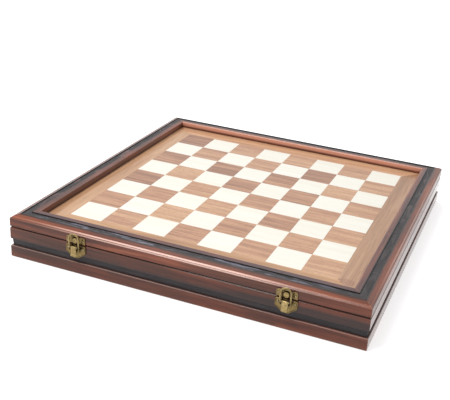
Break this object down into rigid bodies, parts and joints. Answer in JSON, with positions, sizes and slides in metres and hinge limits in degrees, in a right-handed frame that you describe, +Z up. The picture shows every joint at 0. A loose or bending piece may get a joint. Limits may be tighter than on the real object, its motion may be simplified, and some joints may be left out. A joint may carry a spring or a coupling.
{
  "type": "chess box",
  "caption": "Shallow square wooden chess box: a hinged lid carries a recessed inlaid chessboard and is held shut by draw latches on the front.",
  "frame": {"origin": "centre of the flat underside", "axes": "+Z up, -Y out of the front with the latches, +X to the right seen from the front"},
  "size_m": [0.468, 0.4772, 0.0594],
  "materials": {
    "frame_wood": "red-brown mahogany under a satin lacquer",
    "ebonised": "ebonised wood, satin",
    "panel_wood": "plain plywood, matt lacquer",
    "felt": "short-pile felt",
    "light_veneer": "pale maple veneer, satin lacquer",
    "dark_veneer": "walnut veneer, satin lacquer",
    "border_veneer": "golden walnut veneer, satin lacquer",
    "brass": "antique brass, darkened in the recesses"
  },
  "bodies": {
    "box": {"box_wall_front": "frame_wood", "box_wall_right": "frame_wood", "box_wall_back": "frame_wood", "box_wall_left": "frame_wood", "box_strip_front": "ebonised", "box_strip_right": "ebonised", "box_strip_back": "ebonised", "box_strip_left": "ebonised", "base_panel": "panel_wood", "partition": "panel_wood", "floor_felt_front": "felt", "floor_felt_back": "felt", "hinge_leaf_box_left": "brass", "hinge_leaf_box_right": "brass", "hinge_pin_left": "brass", "hinge_pin_right": "brass", "latch_plate_left": "brass", "latch_plate_right": "brass", "lever_pin_left": "brass", "lever_pin_right": "brass"},
    "lid": {"lid_rail_front": "frame_wood", "lid_rail_right": "frame_wood", "lid_rail_back": "frame_wood", "lid_rail_left": "frame_wood", "lid_strip_front": "ebonised", "lid_strip_right": "ebonised", "lid_strip_back": "ebonised", "lid_strip_left": "ebonised", "board_core": "panel_wood", "lid_lining": "felt", "light_squares": "light_veneer", "dark_squares": "dark_veneer", "board_border_front": "border_veneer", "board_border_right": "border_veneer", "board_border_back": "border_veneer", "board_border_left": "border_veneer", "hinge_leaf_lid_left": "brass", "hinge_leaf_lid_right": "brass", "strike_plate_left": "brass", "strike_plate_right": "brass", "catch_knob_left": "brass", "catch_knob_right": "brass"},
    "lever_left": {"latch_lever_left": "brass", "loop_pin_left": "brass"},
    "lever_right": {"latch_lever_right": "brass", "loop_pin_right": "brass"},
    "loop_left": {"latch_loop_left": "brass"},
    "loop_right": {"latch_loop_right": "brass"}
  },
  "joints": [
    {"name": "lid_hinge", "type": "hinge", "parent": "box", "child": "lid", "pos_m": [0, 0.23287, 0.0422], "axis": [-1, 0, 0], "range_deg": [0, 100]},
    {"name": "latch_lever_left", "type": "hinge", "parent": "box", "child": "lever_left", "pos_m": [-0.137, -0.2396, 0.0394], "axis": [-1, 0, 0], "range_deg": [0, 120]},
    {"name": "latch_loop_left", "type": "hinge", "parent": "lever_left", "child": "loop_left", "pos_m": [-0.137, -0.2389, 0.0361], "axis": [1, 0, 0], "range_deg": [0, 138]},
    {"name": "latch_lever_right", "type": "hinge", "parent": "box", "child": "lever_right", "pos_m": [0.137, -0.2396, 0.0394], "axis": [-1, 0, 0], "range_deg": [0, 120]},
    {"name": "latch_loop_right", "type": "hinge", "parent": "lever_right", "child": "loop_right", "pos_m": [0.137, -0.2389, 0.0361], "axis": [1, 0, 0], "range_deg": [0, 138]}
  ],
  "couplings": [
    {"joint": "latch_loop_left", "follows": "latch_lever_left", "ratio": 1.15},
    {"joint": "latch_loop_right", "follows": "latch_lever_right", "ratio": 1.15}
  ]
}
